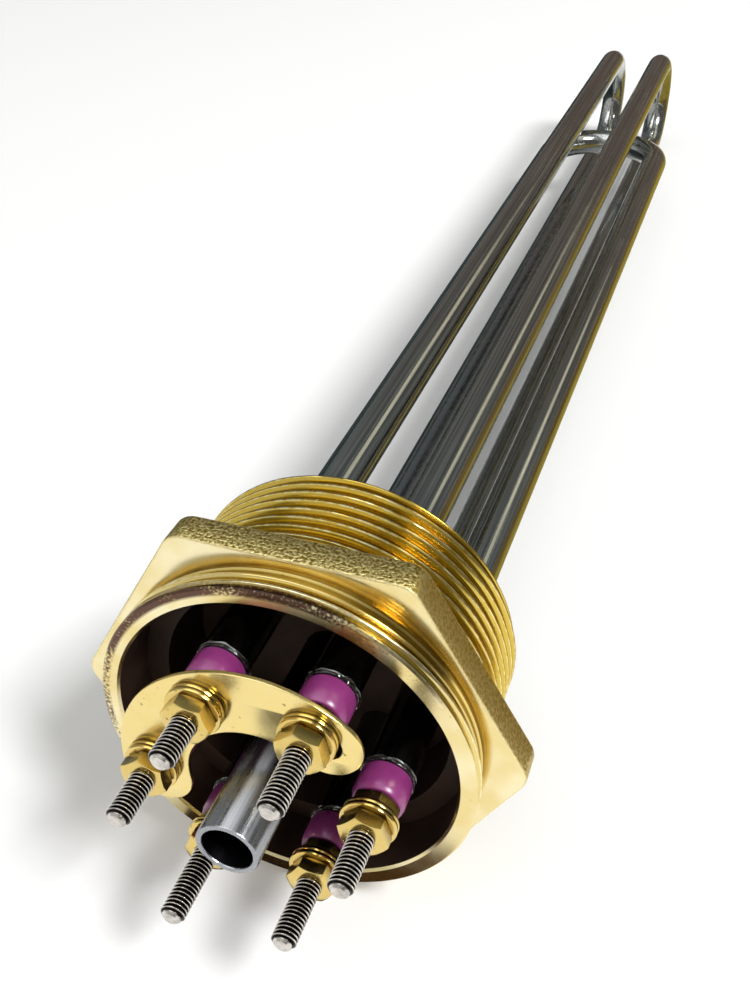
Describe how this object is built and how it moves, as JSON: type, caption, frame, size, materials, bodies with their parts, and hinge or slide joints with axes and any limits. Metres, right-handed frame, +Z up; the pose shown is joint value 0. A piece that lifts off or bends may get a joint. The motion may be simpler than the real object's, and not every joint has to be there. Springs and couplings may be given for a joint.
{
  "type": "screw plug immersion heater",
  "caption": "Threaded brass hexagon plug with bent tubular heating elements and a thermowell behind it, and linked screw terminals in an open cup at its front.",
  "frame": {"origin": "on the plug's axis, at the sealing face on the back of the hexagon, where the tank thread starts", "axes": "+Y along the plug's axis towards the heating elements; +Z up, square to two flats of the hexagon"},
  "size_m": [0.075, 0.3827, 0.066],
  "materials": {
    "brass_casting": "cast and turned brass",
    "stainless_steel": "polished stainless steel",
    "magnesia": "packed magnesia powder",
    "resistance_wire": "nickel chrome wire",
    "terminal_steel": "dark threaded steel",
    "magenta_bush": "glossy magenta insulator",
    "clear_resin": "clear sealing resin",
    "brass_fasteners": "bright turned brass",
    "brass_sheet": "bright punched brass sheet"
  },
  "bodies": {
    "root": {"plug_body": "brass_casting", "left_sheath": "stainless_steel", "right_sheath": "stainless_steel", "cross_sheath": "stainless_steel", "left_magnesia": "magnesia", "right_magnesia": "magnesia", "cross_magnesia": "magnesia", "left_coil": "resistance_wire", "right_coil": "resistance_wire", "cross_coil": "resistance_wire", "thermowell": "stainless_steel", "terminal_pin_1": "terminal_steel", "terminal_pin_2": "terminal_steel", "terminal_pin_3": "terminal_steel", "terminal_pin_4": "terminal_steel", "terminal_pin_5": "terminal_steel", "terminal_pin_6": "terminal_steel", "bush_1": "magenta_bush", "bush_2": "magenta_bush", "bush_3": "magenta_bush", "bush_4": "magenta_bush", "bush_5": "magenta_bush", "bush_6": "magenta_bush", "seal_beads": "clear_resin", "base_nuts": "brass_fasteners", "link_plate": "brass_sheet", "inner_washers": "brass_fasteners", "outer_washers": "brass_fasteners", "terminal_nuts": "brass_fasteners"}
  },
  "joints": []
}
